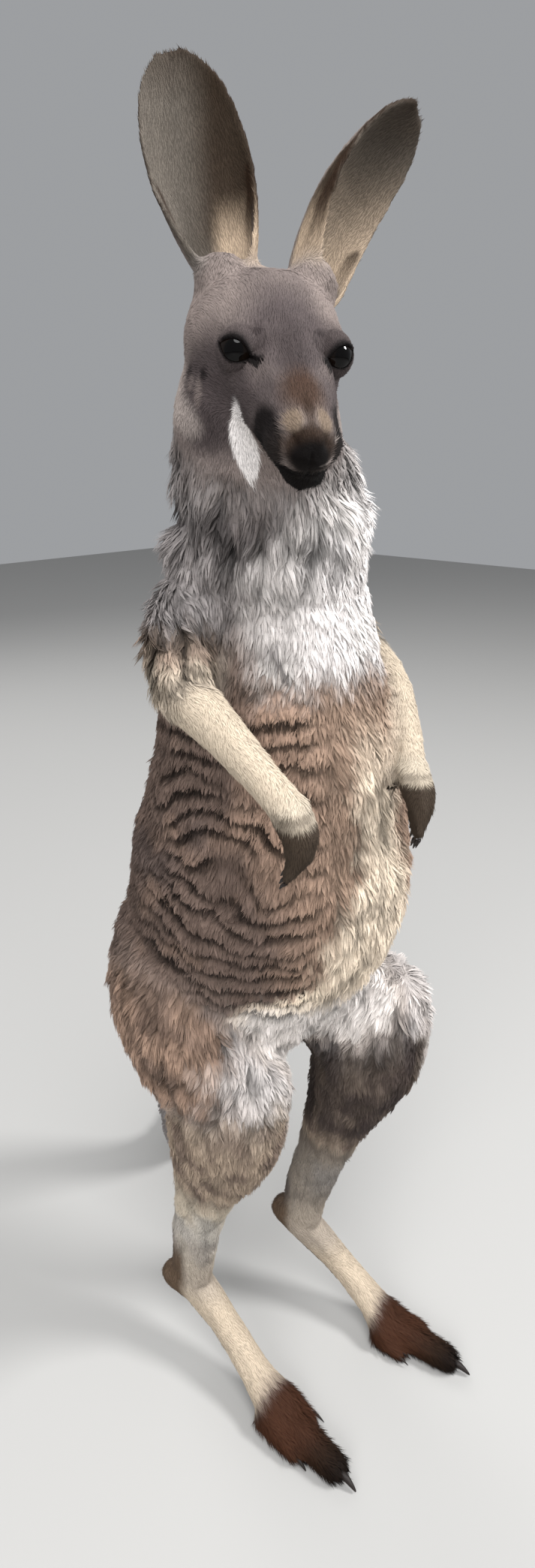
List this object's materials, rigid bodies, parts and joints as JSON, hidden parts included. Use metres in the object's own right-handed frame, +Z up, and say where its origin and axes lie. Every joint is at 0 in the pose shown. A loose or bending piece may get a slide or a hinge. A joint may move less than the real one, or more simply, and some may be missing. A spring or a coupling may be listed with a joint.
{
  "type": "grey female red kangaroo",
  "caption": "Life-size kangaroo standing upright on its toes and tail, forearms hanging, head turned to its right.",
  "frame": {"origin": "under the middle of the bounding box, at floor level", "axes": "+Z up; the pelvis faces -Y, so the toes point towards -Y and the tail runs back towards +Y; the animal's left is at +X"},
  "size_m": [0.5016, 0.6122, 1.1208],
  "materials": {
    "grey_fur": "dense grey fur",
    "brown_fur": "shaggy grey-brown fur",
    "cream_fur": "short pale fur",
    "dark_fur": "short dark fur",
    "eye": "wet, nearly black",
    "claw": "smooth dark horn"
  },
  "bodies": {
    "root": {"belly": "brown_fur", "chest": "grey_fur", "ear_left": "grey_fur", "ear_right": "grey_fur", "eye_left": "eye", "eye_right": "eye", "fifth_claw_left": "claw", "fifth_claw_right": "claw", "finger_claw_1_left": "claw", "finger_claw_1_right": "claw", "finger_claw_2_left": "claw", "finger_claw_2_right": "claw", "finger_claw_3_left": "claw", "finger_claw_3_right": "claw", "finger_claw_4_left": "claw", "finger_claw_4_right": "claw", "finger_claw_5_left": "claw", "finger_claw_5_right": "claw", "foot_left": "cream_fur", "foot_right": "cream_fur", "forearm_left": "cream_fur", "forearm_right": "cream_fur", "fourth_claw_left": "claw", "fourth_claw_right": "claw", "hand_left": "dark_fur", "hand_right": "dark_fur", "head": "grey_fur", "neck": "grey_fur", "rump": "brown_fur", "second_claw_left": "claw", "second_claw_right": "claw", "shin_left": "cream_fur", "shin_right": "cream_fur", "tail_base": "brown_fur", "tail_middle": "grey_fur", "tail_tip": "grey_fur", "thigh_left": "brown_fur", "thigh_right": "brown_fur", "third_claw_left": "claw", "third_claw_right": "claw", "toes_left": "dark_fur", "toes_right": "dark_fur", "upper_arm_left": "grey_fur", "upper_arm_right": "grey_fur"}
  },
  "joints": []
}
